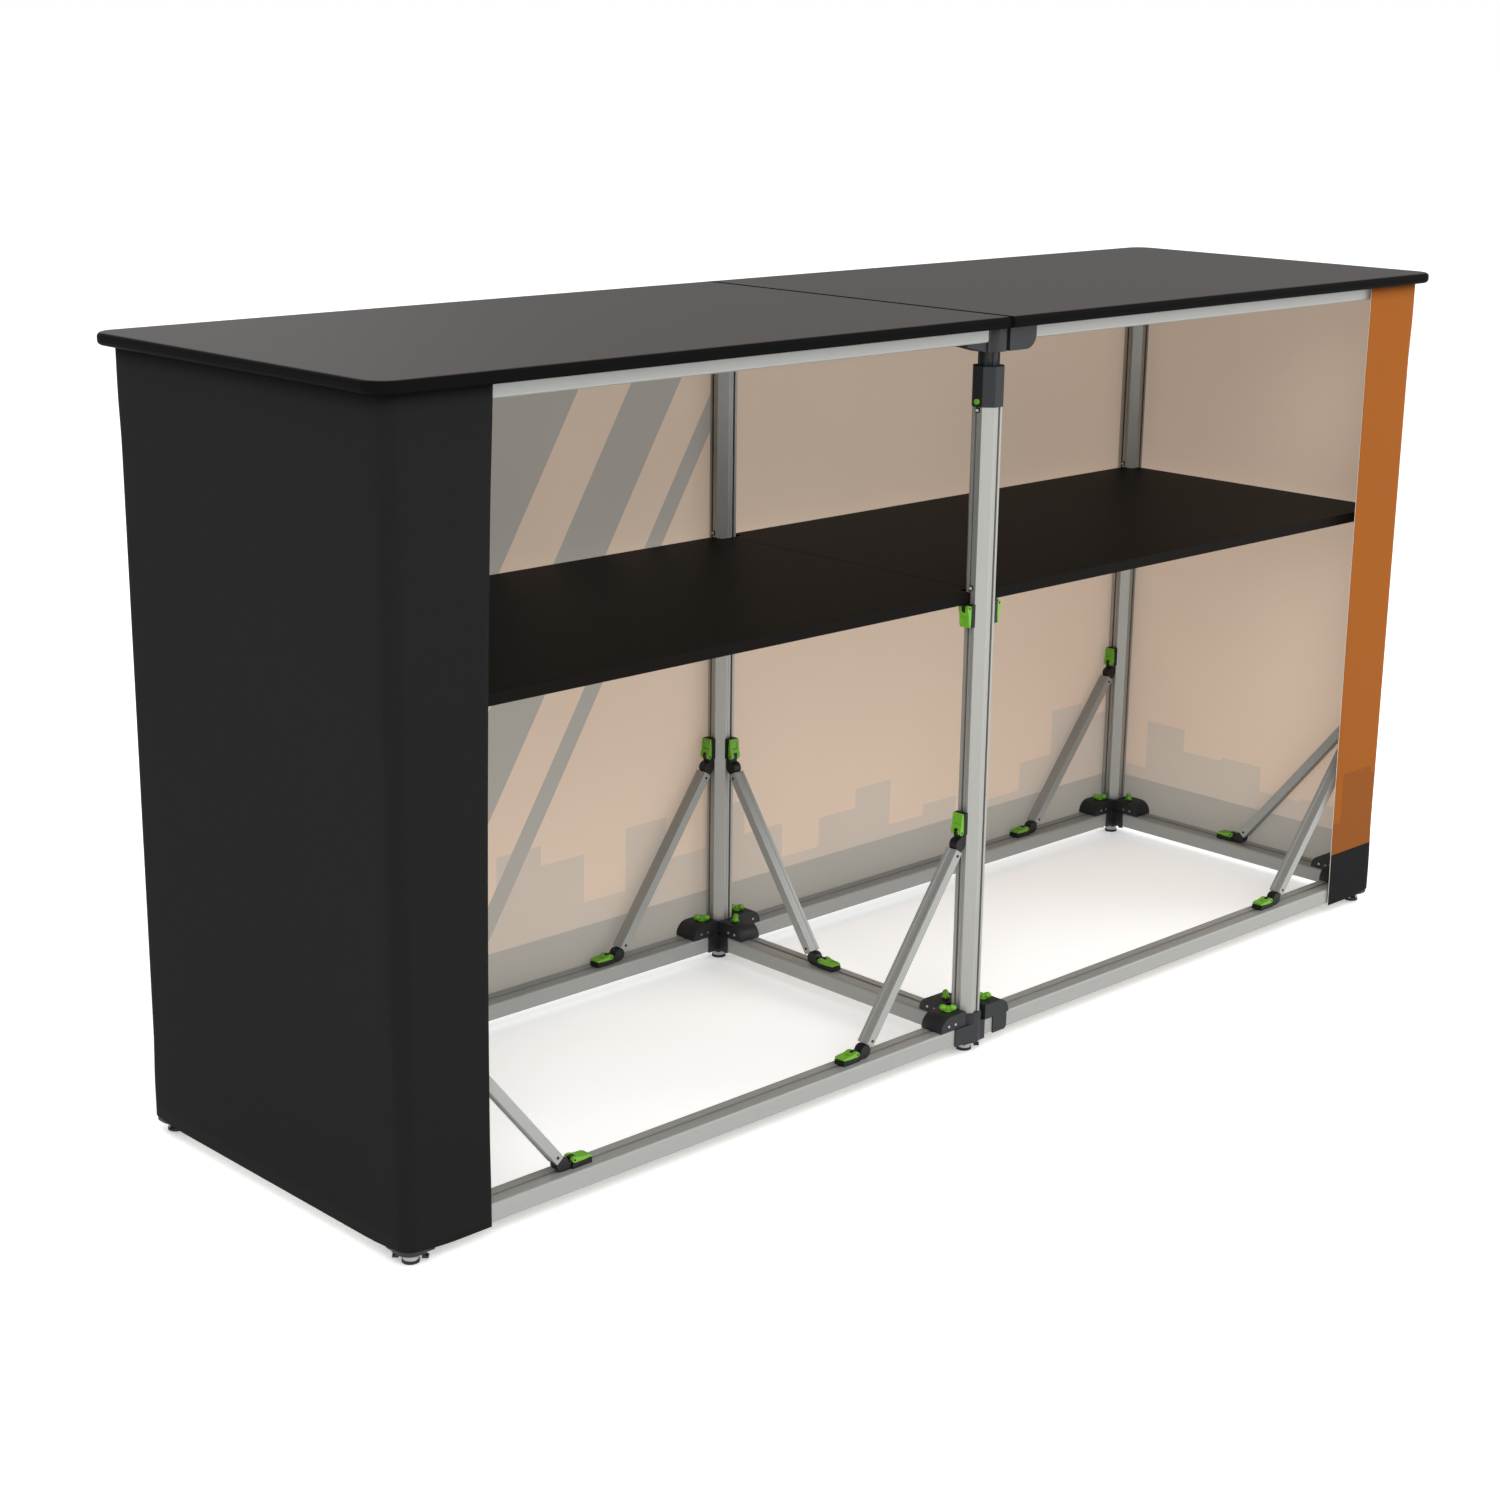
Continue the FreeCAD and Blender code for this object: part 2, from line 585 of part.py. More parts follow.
def strut_blank():
    """A grooved bar along +X, measured from the centre of its upper knuckle."""
    end = "(sizes.knuckle_radius + sizes.brace_end_gap)"
    length = f"{BRACE_SPAN} - 2 * {end}"
    bar = box("strut_bar", length, "sizes.brace_width", "sizes.brace_depth", z="-sizes.brace_depth / 2")
    grooves = doc.addObject("Part::Compound", "strut_grooves")
    grooves.Links = [
        box(f"strut_groove_{side}", length, "sizes.brace_groove_width", "sizes.brace_groove_depth * 2",
            z=f"{sign} * sizes.brace_depth / 2 - sizes.brace_groove_depth")
        for side, sign in (("above", 1), ("below", -1))
    ]
    return copy("strut_from_knuckle", cut("strut_grooved", bar, grooves), end)


def set_brace(kind, strut, masters):
    """A brace on a post at the origin that leans along +X: its strut, and the clamp pieces of each end."""
    height, reach, run, drop = BRACE_SETTINGS[kind]
    ends = {
        "upper": dict(x=POST_HALF, z=height, axis=X_AXIS, angle=180),
        "lower": dict(x=reach, z=BEAM_TOP, axis=Y_AXIS, angle=-90),
    }
    leaning = copy(f"{kind}_strut", strut, f"{POST_HALF} + sizes.knuckle_height",
                   z=f"{height} - sizes.knuckle_offset", axis=Y_AXIS, angle=45)
    leaning.setExpression("Placement.Rotation.Angle", f"atan({drop} / {run})")
    pieces = {
        end: [copy(f"{kind}_{end}_{name}", master, **where) for name, master in masters.items()]
        for end, where in ends.items()
    }
    return leaning, pieces


def clamps():
    """Braces with a clamp at each end, and the clamps that carry the shelves."""
    shelf_clamp, brace_clamp, lever, pin = clamp_masters()
    strut = strut_blank()
    masters = {"clamp": brace_clamp, "lever": lever, "pin": pin}
    settings = {kind: set_brace(kind, strut, masters) for kind in BRACE_SETTINGS}
    seat = dict(x=POST_HALF, z=f"{SHELF_UNDERSIDE} - sizes.clamp_length / 2")
    shelf_body = copy("shelf_clamp_seated", shelf_clamp, **seat)
    shelf_lever = copy("shelf_lever_seated", lever, **seat)
    shelf_pin = copy("shelf_pin_seated", pin, **seat)
    struts = []
    bodies = []
    pins = []
    for key, (column, row, turn) in BRACES.items():
        where = (COLUMNS[column], ROWS[row])
        leaning, ends = settings["middle" if column == "middle" else "corner"]
        struts.append(copy(f"strut_{key}", leaning, *where, angle=turn))
        for end, (end_body, end_lever, end_pin) in ends.items():
            bodies.append(copy(f"{end}_clamp_{key}", end_body, *where, angle=turn))
            pins.append(copy(f"{end}_pin_{key}", end_pin, *where, angle=turn))
            piece = copy(f"{end}_lever_{key}", end_lever, *where, angle=turn)
            node(f"brace_lever_{key}_{end}", [piece])
    for key, (column, row, turn) in SHELF_CLAMPS.items():
        where = (COLUMNS[column], ROWS[row])
        bodies.append(copy(f"shelf_clamp_{key}", shelf_body, *where, angle=turn))
        pins.append(copy(f"shelf_pin_{key}", shelf_pin, *where, angle=turn))
        node(f"shelf_lever_{key}", [copy(f"lever_under_shelf_{key}", shelf_lever, *where, angle=turn)])
    node("brace_struts", struts)
    node("clamp_bodies", bodies)
    node("lever_pins", pins)


def rounded_block(name, margin, radius, z, height):
    """An upright block that stands a margin outside the post grid, with round corners."""
    blank = box(name + "_blank", f"(sizes.pitch_x + {margin}) * 2", f"sizes.pitch_y + 2 * {margin}", height,
                f"-sizes.pitch_x - {margin}", z=z)
    return round_edges(name, blank, radius, is_upright)


def skin():
    """One stretched fabric wall round both ends and the front, with a short return on the open side."""
    height = f"{TOP_UNDERSIDE} - sizes.skin_top_gap - sizes.skin_bottom"
    radius = sizes.get("node_corner_radius") + sizes.get("skin_gap")
    outside = rounded_block("skin_outside", f"({SKIN_HALF} + sizes.skin_thickness)",
                            radius + sizes.get("skin_thickness"), "sizes.skin_bottom", height)
    inside = rounded_block("skin_inside", SKIN_HALF, radius, "sizes.skin_bottom", height)
    wall = cut("skin_wall", outside, inside)
    mouth = box("skin_mouth", "(sizes.pitch_x - sizes.skin_return) * 2", "sizes.node_width * 2", height,
                "-sizes.pitch_x + sizes.skin_return", f"-{HALF_PITCH_Y} - sizes.node_width",
                "sizes.skin_bottom")
    node("fabric_skin", [copy("skin", cut("skin_open", wall, mouth))])


def check():
    """Stop if any object failed or any sub-part is empty or broken."""
    doc.recompute()
    for item in doc.Objects:
        if "Invalid" in item.State or "Error" in item.State:
            raise RuntimeError(f"{item.Label} failed: {item.State}")
    for item in NODES:
        if item.Shape.isNull() or not item.Shape.isValid() or not item.Shape.Solids:
            raise RuntimeError(f"{item.Label} has no sound shape")


def export():
    os.makedirs("parts", exist_ok=True)
    for item in NODES:
        item.Shape.exportStep(f"parts/{item.Label}.step")
        box_size = item.Shape.BoundBox
        print(f"{item.Label}: {len(item.Shape.Solids)} solids, {item.Shape.Volume / 1000:.1f} cm3,"
              f" z {box_size.ZMin:.1f} to {box_size.ZMax:.1f}")
    print(f"{len(NODES)} nodes")


tops()
shelves()
posts()
frame_bars("base_beams", "sizes.beam_width", "sizes.beam_height", "sizes.beam_bottom")
frame_bars("top_rails", "sizes.rail_width", "sizes.rail_height", RAIL_BOTTOM)
connectors()
brackets()
sleeves()
knobs()
feet()
clamps()
skin()
check()
export()
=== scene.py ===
"""Exhibition counter: finishes, fabric skin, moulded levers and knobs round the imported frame."""
import json
import math

import bmesh
import bpy
from mathutils import Matrix, Quaternion, Vector


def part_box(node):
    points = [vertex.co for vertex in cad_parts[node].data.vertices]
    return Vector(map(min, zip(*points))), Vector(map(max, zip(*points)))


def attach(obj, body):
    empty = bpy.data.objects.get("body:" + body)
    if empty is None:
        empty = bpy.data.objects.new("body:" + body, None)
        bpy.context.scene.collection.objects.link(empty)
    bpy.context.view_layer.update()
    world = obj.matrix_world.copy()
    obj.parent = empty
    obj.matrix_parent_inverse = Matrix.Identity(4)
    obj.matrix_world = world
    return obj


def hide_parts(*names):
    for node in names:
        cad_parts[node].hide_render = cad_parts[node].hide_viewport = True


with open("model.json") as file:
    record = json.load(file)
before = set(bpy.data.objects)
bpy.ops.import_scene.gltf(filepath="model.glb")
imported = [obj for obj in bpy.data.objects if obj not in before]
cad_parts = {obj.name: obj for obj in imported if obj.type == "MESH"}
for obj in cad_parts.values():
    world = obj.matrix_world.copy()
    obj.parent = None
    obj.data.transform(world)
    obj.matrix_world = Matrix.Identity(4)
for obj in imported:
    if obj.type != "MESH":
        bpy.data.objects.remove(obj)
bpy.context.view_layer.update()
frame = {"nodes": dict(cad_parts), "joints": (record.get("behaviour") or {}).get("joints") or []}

MM = 0.001
scene = bpy.context.scene
nodes = frame["nodes"]
joints = {joint["child"]: joint for joint in frame["joints"]}

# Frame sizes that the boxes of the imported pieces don't give.
POST_ROW = 0.262
COLUMNS = (-1, 0, 1)
ROWS = (-POST_ROW, POST_ROW)
# Slots: their depth, their floor from a post's centre line, and the ridge that runs along it.
SLOT_DEPTH = 7 * MM
SLOT_FLOOR = 13 * MM
RIDGE_HALF = 2.6 * MM
RIDGE_RISE = 5.4 * MM
# Floor beams: their start from a post's centre line, their half width, and the node's cheeks beside them.
BEAM_START = 23 * MM
BEAM_HALF = 20 * MM
LAP_START, LAP_END = 20 * MM, 42 * MM
LAP_THICKNESS = 1.9 * MM
# Hoods of the foot nodes: their half width, and the height and reach of the rivets in their sides.
HOOD_HALF = 19.5 * MM
RIVET_HEIGHT = 54 * MM
RIVET_REACHES = (42 * MM, 56 * MM)
# Ribs round the neck of a head node: how many, and the low and high corner of the one along x.
NECK_RIBS = 8
NECK_RIB_LOW = Vector((12.5, -1.5, 0.2)) * MM
NECK_RIB_HIGH = Vector((15.5, 1.5, 19.8)) * MM
# Pins in the post slots: how far below a push button, and how far above the shelves.
PIN_BELOW_BUTTON = 8 * MM
PIN_ABOVE_SHELF = 6 * MM
# Where a brace's knuckles lie from the lever pivots at its upper and lower clamps: along the lean, and up.
KNUCKLE_FROM_UPPER = Vector((-1 * MM, -18 * MM))
KNUCKLE_FROM_LOWER = Vector((-18 * MM, -1 * MM))
STRUT_RIVET_INSET = 17 * MM
STRUT_HALF = 10 * MM
# Pins and rivet heads: diameter and height in millimetres, and how wide the end is against the foot.
HOOD_RIVET = (4.4, 1.0)
STRUT_RIVET = (4.0, 1.4)
PIN_SEAT = (8.8, 7.3)
POST_PIN = (5.2, 9.0)
PEG_TAPER = 0.8
# Worktops: how wide the painted seam shadow is on each board along their joint, and how far below the face the
# dull edge band fades in.
SEAM_SHADOW_HALF = 5 * MM
BAND_START, BAND_FULL = 0.2 * MM, 0.9 * MM
# Edges that turn more than these angles are broken, or stay sharp in smooth shading.
BREAK_ANGLE = math.radians(35)
SHARP_ANGLE = math.radians(40)
WELD_REACH = 0.01 * MM


def linear(hex_colour):
    """An sRGB hex colour as linear RGBA."""
    channels = [int(hex_colour[i:i + 2], 16) / 255 for i in (1, 3, 5)]
    return [c / 12.92 if c <= 0.04045 else ((c + 0.055) / 1.055) ** 2.4 for c in channels] + [1.0]


def add(material, kind, inputs, **settings):
    """Add a node: inputs are values or other nodes' outputs, settings are its attributes."""
    node = material.node_tree.nodes.new(kind)
    for key, value in settings.items():
        setattr(node, key, value)
    for key, value in inputs.items():
        if isinstance(value, bpy.types.NodeSocket):
            material.node_tree.links.new(value, node.inputs[key])
        else:
            node.inputs[key].default_value = value
    return node


def new_material(name, colour, roughness, metallic=0.0, ior=1.5):
    """A surface shader with the values that are the same all over."""
    material = bpy.data.materials.new(name)
    material.use_nodes = True
    shader = material.node_tree.nodes["Principled BSDF"]
    shader.inputs["Base Color"].default_value = linear(colour)
    shader.inputs["Roughness"].default_value = roughness
    shader.inputs["Metallic"].default_value = metallic
    if not metallic:
        shader.inputs["IOR"].default_value = ior
    return material, shader


def join(material, output, shader, socket):
    """Link a node's output to the surface shader."""
    material.node_tree.links.new(output, shader.inputs[socket])


def per_metre(size_mm):
    """A texture scale whose features are about the given size."""
    return 1 / (size_mm * MM)


def speckle(material, shader, pale, dark, size_mm, roughness, bump_mm, stretch=(1, 1, 1)):
    """Fine uneven colour, gloss and relief on Object coordinates, with features of the given size."""
    where = add(material, "ShaderNodeTexCoord", {})
    turned = add(material, "ShaderNodeMapping", {"Vector": where.outputs["Object"], "Scale": stretch})
    grain = add(material, "ShaderNodeTexNoise", {
        "Vector": turned.outputs["Vector"], "Scale": per_metre(size_mm), "Detail": 4.0, "Roughness": 0.6})
    amount = grain.outputs["Fac"]
    tint = add(material, "ShaderNodeMix", {0: amount, 6: linear(pale), 7: linear(dark)}, data_type="RGBA")
    join(material, tint.outputs[2], shader, "Base Color")
    low, high = roughness
    gloss = add(material, "ShaderNodeMapRange", {"Value": amount, "To Min": low, "To Max": high})
    join(material, gloss.outputs["Result"], shader, "Roughness")
    relief = add(material, "ShaderNodeBump", {"Height": amount, "Strength": 0.6, "Distance": bump_mm * MM})
    join(material, relief.outputs["Normal"], shader, "Normal")
    return tint.outputs[2]


def worktop_laminate(top):
    # Pressed laminate on board: a pebbled charcoal face with a broad satin sheen and a dull black edge band.
    material, shader = new_material("charcoal_laminate", "#2f2926", roughness=0.5, ior=1.15)
    pebbles = speckle(material, shader, "#322c28", "#292420", size_mm=1.6, roughness=(0.46, 0.58),
                      bump_mm=0.12)
    where = add(material, "ShaderNodeTexCoord", {})
    place = add(material, "ShaderNodeSeparateXYZ", {"Vector": where.outputs["Object"]})
    upper = add(material, "ShaderNodeMapRange", {
        "Value": place.outputs["Z"], "From Min": top - BAND_FULL, "From Max": top - BAND_START})
    # Painted shadow of the joint: a strip along the seam takes the edge band's black and has no sheen.
    from_seam = add(material, "ShaderNodeMath", {0: place.outputs["X"]}, operation="ABSOLUTE")
    past_seam_shadow = add(material, "ShaderNodeMath", {0: from_seam.outputs[0], 1: SEAM_SHADOW_HALF},
                    operation="GREATER_THAN")
    face = add(material, "ShaderNodeMath", {0: upper.outputs["Result"], 1: past_seam_shadow.outputs[0]},
               operation="MULTIPLY")
    # Near black for the dull edge band, and for the painted seam shadow.
    edge_band_and_seam_shadow = add(material, "ShaderNodeMix", {0: face.outputs[0], 6: linear("#0c0b0b"), 7: pebbles},
                 data_type="RGBA")
    join(material, edge_band_and_seam_shadow.outputs[2], shader, "Base Color")
    sheen = add(material, "ShaderNodeMapRange", {
        "Value": upper.outputs["Result"], "To Min": 0.15, "To Max": 0.5})
    # No sheen on the painted seam shadow, so that it reads darker.
    sheen_off_seam_shadow = add(material, "ShaderNodeMath", {0: sheen.outputs["Result"], 1: past_seam_shadow.outputs[0]},
                   operation="MULTIPLY")
    join(material, sheen_off_seam_shadow.outputs[0], shader, "Specular IOR Level")
    return material


def shelf_laminate():
    # Black-brown laminate: matt with a fine long grain.
    material, shader = new_material("black_brown_laminate", "#0f0c0a", roughness=0.5, ior=1.12)
    speckle(material, shader, "#110e0b", "#0b0806", size_mm=2.0, roughness=(0.45, 0.58), bump_mm=0.08,
            stretch=(0.25, 1, 1))
    return material


def anodised_aluminium(name, pale, dark, metallic, stretch):
    # Natural anodised extrusion: satin metal with faint draw lines along its length.
    material, shader = new_material(name, pale, roughness=0.42, metallic=metallic)
    speckle(material, shader, pale, dark, size_mm=0.8, roughness=(0.36, 0.50), bump_mm=0.015, stretch=stretch)
    return material


def moulded_plastic(name, pale, dark, roughness):
    # Injection moulded, with a fine spark-eroded texture that breaks up the highlights.
    material, shader = new_material(name, pale, roughness[0], ior=1.4)
    speckle(material, shader, pale, dark, size_mm=0.7, roughness=roughness, bump_mm=0.03)
    return material


def turned_steel():
    # Small pins and rivets: plain bright steel with fine turning marks.
    material, shader = new_material("turned_steel", "#b4b4b2", roughness=0.3, metallic=1.0)
    speckle(material, shader, "#bababa", "#a2a2a0", size_mm=0.4, roughness=(0.24, 0.36), bump_mm=0.01,
            stretch=(1, 1, 6))
    return material


def foot_rubber():
    # Black rubber: matt, with the faint bloom of handled rubber.
    material, shader = new_material("black_rubber", "#1c1c1d", roughness=0.75)
    speckle(material, shader, "#202021", "#161617", size_mm=1.5, roughness=(0.66, 0.82), bump_mm=0.05)
    return material


TOP_FACE = worktop_laminate(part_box("countertop_left")[1][2])
SHELF_FACE = shelf_laminate()
UPRIGHT_METAL = anodised_aluminium("anodised_upright", "#a5a5a0", "#999894", 0.55, (1, 1, 0.02))
LONG_METAL = anodised_aluminium("anodised_bars", "#9b9c99", "#91928f", 0.25, (0.05, 0.05, 1))
GREY_PLASTIC = moulded_plastic("slate_plastic", "#1d1f22", "#17191b", (0.45, 0.58))
BLACK_PLASTIC = moulded_plastic("jet_plastic", "#121315", "#0d0e0f", (0.42, 0.55))
PALE_PLASTIC = moulded_plastic("pale_grey_plastic", "#b9bbbb", "#a9abab", (0.40, 0.52))
GREEN_PLASTIC = moulded_plastic("leaf_green_plastic", "#6aa828", "#5e9a20", (0.34, 0.46))
STEEL = turned_steel()
RUBBER = foot_rubber()


def moving(kind):
    """The nodes of one kind that move, such as all the levers."""
    return [node for node in joints if kind in node]


def both_sides(way):
    """The two level directions square to a level one."""
    return Vector((way.y, -way.x, 0)), Vector((-way.y, way.x, 0))


def edge_break(obj, width_mm, segments):
    """Break an object's sharp edges with a live bevel."""
    bevel = obj.modifiers.new("edge_break", "BEVEL")
    bevel.width = width_mm * MM
    bevel.segments = segments
    bevel.limit_method = "ANGLE"
    bevel.angle_limit = BREAK_ANGLE
    return bevel


def mesh_object(name, bm, *materials):
    """A new object in the scene from a bmesh, which is used up."""
    mesh = bpy.data.meshes.new(name)
    bm.to_mesh(mesh)
    bm.free()
    for material in materials:
        mesh.materials.append(material)
    obj = bpy.data.objects.new(name, mesh)
    scene.collection.objects.link(obj)
    return obj


def smooth(obj):
    """Smooth shading that keeps the sharp edges."""
    for polygon in obj.data.polygons:
        polygon.use_smooth = True
    bm = bmesh.new()
    bm.from_mesh(obj.data)
    for edge in bm.edges:
        if len(edge.link_faces) == 2 and edge.calc_face_angle() > SHARP_ANGLE:
            edge.smooth = False
    bm.to_mesh(obj.data)
    bm.free()


# CAD pieces that stay: their finish, and how wide their edges are broken in millimetres.
FINISHES = [
    (["countertop_left", "countertop_right"], TOP_FACE, 0),
    (["shelf_left", "shelf_right"], SHELF_FACE, 0.8),
    (["posts"], UPRIGHT_METAL, 0),
    (["base_beams", "top_rails"], LONG_METAL, 0),
    (["brace_struts"], LONG_METAL, 0.7),
    (["base_connectors", "top_brackets"], GREY_PLASTIC, 1.2),
    (["post_sleeves"], GREY_PLASTIC, 0.5),
    (["clamp_bodies"], BLACK_PLASTIC, 0.9),
    (["lever_pins"], STEEL, 0),
    (["foot_stems"], PALE_PLASTIC, 0),
    (["foot_pads"], RUBBER, 0.6),
    (moving("lock_button"), GREEN_PLASTIC, 0.7),
]


def finishes():
    """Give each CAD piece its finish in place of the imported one, and break its edges with live modifiers."""
    for pieces, material, edge_mm in FINISHES:
        for node in pieces:
            nodes[node].data.materials.clear()
            nodes[node].data.materials.append(material)
            if edge_mm:
                weld = nodes[node].modifiers.new("weld", "WELD")
                weld.merge_threshold = WELD_REACH
                edge_break(nodes[node], edge_mm, segments=2).harden_normals = True


# Fabric skin. Its path runs in plan from the free edge of the left return, round both ends, to the right.
SKIN_LOW, SKIN_HIGH = (Vector(corner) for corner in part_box("fabric_skin"))
RETURN_EDGE = 0.890
SKIN_CORNERS = [Vector(corner) for corner in (
    (-RETURN_EDGE, SKIN_LOW.y), (SKIN_LOW.x, SKIN_LOW.y), (SKIN_LOW.x, SKIN_HIGH.y),
    (SKIN_HIGH.x, SKIN_HIGH.y), (SKIN_HIGH.x, SKIN_LOW.y), (RETURN_EDGE, SKIN_LOW.y))]
FRONT_PANEL, LAST_PANEL = 2, 4
SKIN_THICKNESS = 1.2 * MM
# The skin is tight over the nodes at its top and bottom and slacker over the thinner posts between them.
NODE_CORNER = 19.5 * MM
POST_CORNER = 21.5 * MM
POST_DRAW_IN = 0.9 * MM
NODE_REACH, POST_REACH = 48 * MM, 130 * MM
# How the free edges lie off a straight line: how much wider at the floor and at the top, and the bow between.
LEFT_EDGE = (-4 * MM, 17 * MM, 6 * MM)
RIGHT_EDGE = (-4 * MM, 5 * MM, 0)
# The bottom hem rides up a little all round, and more round each foot.
HEM_RISE = 2.5 * MM
HEM_LIFT = 4 * MM
HEM_LIFT_REACH = 70 * MM
# How far the cloth is drawn in between the posts, and the steps of its grid.
PANEL_DRAW_IN = 7 * MM
SKIN_ROWS = 44
PANEL_STEPS, ARC_STEPS = 24, 8


def bays(panel):
    """How many bays of the frame a panel of the skin covers."""
    return 2 if panel == FRONT_PANEL else 1


def skin_stops():
    """Steps along the skin: a panel or the arc at its end, how far along that, and the flat length so far."""
    stops = [(0, False, 0.0, 0.0)]
    length = 0.0
    for panel, (start, end) in enumerate(zip(SKIN_CORNERS, SKIN_CORNERS[1:])):
        arcs = (panel > 0) + (panel < LAST_PANEL)
        run = (end - start).length - arcs * NODE_CORNER
        steps = PANEL_STEPS * bays(panel)
        for step in range(1, steps + 1):
            stops.append((panel, False, step / steps, length + run * step / steps))
        length += run
        if panel < LAST_PANEL:
            arc = NODE_CORNER * math.pi / 2
            for step in range(1, ARC_STEPS + 1):
                stops.append((panel, True, step / ARC_STEPS, length + arc * step / ARC_STEPS))
            length += arc
    return stops


def skin_point(stop, height):
    """Where a stop lies at a height: on its arc, on a free edge's panel, or on one drawn in between posts."""
    panel, on_arc, share, _ = stop
    start, end = SKIN_CORNERS[panel], SKIN_CORNERS[panel + 1]
    ahead = (end - start).normalized()
    inward = Vector((ahead.y, -ahead.x))
    from_edge = min(height - SKIN_LOW.z, SKIN_HIGH.z - height)
    slack = min(max((from_edge - NODE_REACH) / (POST_REACH - NODE_REACH), 0), 1)
    slack = slack * slack * (3 - 2 * slack)
    radius = NODE_CORNER + (POST_CORNER - NODE_CORNER) * slack
    up = 2 * (height - SKIN_LOW.z) / (SKIN_HIGH.z - SKIN_LOW.z) - 1
    belly = 1 - up * up
    if on_arc:
        turn = share * math.pi / 2
        centre = end - ahead * radius + inward * radius
        point = centre + ahead * radius * math.sin(turn) - inward * radius * math.cos(turn)
        return point + (inward - ahead) / math.sqrt(2) * POST_DRAW_IN * slack
    begin = start + ahead * radius * (panel > 0)
    finish = end - ahead * radius * (panel < LAST_PANEL)
    point = begin.lerp(finish, share) + inward * POST_DRAW_IN * slack
    if panel in (0, LAST_PANEL):
        freedom = share if panel else 1 - share
        wider = ahead if panel else -ahead
        at_floor, at_top, bow = RIGHT_EDGE if panel else LEFT_EDGE
        offset = at_floor + (at_top - at_floor) * (up + 1) / 2 - bow * belly
        return point + wider * offset * freedom * freedom
    return point + inward * PANEL_DRAW_IN * belly * abs(math.sin(math.pi * bays(panel) * share))


def hem_lift(stop, height):
    """How far the hem has ridden up at a stop: most at the corners, and less higher up."""
    panel, on_arc, share, _ = stop
    run = (SKIN_CORNERS[panel + 1] - SKIN_CORNERS[panel]).length
    back = share * run if panel > 0 else run
    ahead = (1 - share) * run if panel < LAST_PANEL else run
    nearness = 1.0 if on_arc else max(0, 1 - min(back, ahead) / HEM_LIFT_REACH)
    lowness = max(0, 1 - (height - SKIN_LOW.z) / HEM_LIFT_REACH)
    return (HEM_RISE + HEM_LIFT * nearness * nearness) * lowness


def skin_mesh():
    """A grid bent along the skin's path, with a flat map in metres, and its flat length."""
    stops = skin_stops()
    bm = bmesh.new()
    bmesh.ops.create_grid(bm, x_segments=len(stops) - 1, y_segments=SKIN_ROWS, size=0.5)
    layer = bm.loops.layers.uv.new("flat")
    places = {}
    for vert in bm.verts:
        stop = stops[round((vert.co.x + 0.5) * (len(stops) - 1))]
        height = SKIN_LOW.z + (SKIN_HIGH.z - SKIN_LOW.z) * (vert.co.y + 0.5)
        places[vert] = (stop[3], height)
        vert.co = skin_point(stop, height).to_3d() + Vector((0, 0, height + hem_lift(stop, height)))
    for face in bm.faces:
        for loop in face.loops:
            loop[layer].uv = places[loop.vert]
    bmesh.ops.reverse_faces(bm, faces=list(bm.faces))
    return bm, stops[-1][3]


# The print, in metres: where black sweeps onto the front at the floor and gives way to stripes, the sweep's
# slope, the base band, and the blocks of uneven height that stand on it.
SWEEP_STOPS = [0.0, 0.16, 0.26, 0.36, 0.44, 0.475]
SWEEP_SLOPE = 0.62
BASE_BAND = 0.107
BLOCK_WIDTH = 0.085
BLOCK_RISE = 0.17


def print_masks(material, flat):
    """Where the print is black, with a slanted sweep and a base band, and where it has its row of blocks."""
    front_start = -RETURN_EDGE - SKIN_LOW.x + SKIN_HIGH.y - SKIN_LOW.y
    place = add(material, "ShaderNodeSeparateXYZ", {"Vector": flat})
    along, up = place.outputs["X"], place.outputs["Y"]
    on_front = add(material, "ShaderNodeMapping", {"Vector": flat, "Location": (-front_start, 0, 0)})
    slant = add(material, "ShaderNodeVectorMath", {0: on_front.outputs["Vector"], 1: (1, -SWEEP_SLOPE, 0)},
                operation="DOT_PRODUCT")
    sweep = add(material, "ShaderNodeValToRGB", {"Fac": slant.outputs["Value"]})
    sweep.color_ramp.interpolation = "CONSTANT"
    stops = sweep.color_ramp.elements
    stops.remove(stops[-1])
    for index, position in enumerate(SWEEP_STOPS):
        stop = stops.new(position) if index else stops[0]
        stop.color = [1 - index % 2] * 3 + [1]
    band = add(material, "ShaderNodeMath", {0: up, 1: BASE_BAND}, operation="LESS_THAN")
    black = add(material, "ShaderNodeMath", {0: sweep.outputs["Color"], 1: band.outputs[0]},
                operation="MAXIMUM")
    block = add(material, "ShaderNodeMath", {0: along, 1: BLOCK_WIDTH}, operation="SNAP")
    chance = add(material, "ShaderNodeTexWhiteNoise", {"W": block.outputs[0]}, noise_dimensions="1D")
    rise = add(material, "ShaderNodeMath", {0: chance.outputs["Value"], 1: BLOCK_RISE, 2: BASE_BAND},
               operation="MULTIPLY_ADD")
    blocks = add(material, "ShaderNodeMath", {0: up, 1: rise.outputs[0]}, operation="LESS_THAN")
    return black.outputs[0], blocks.outputs[0]


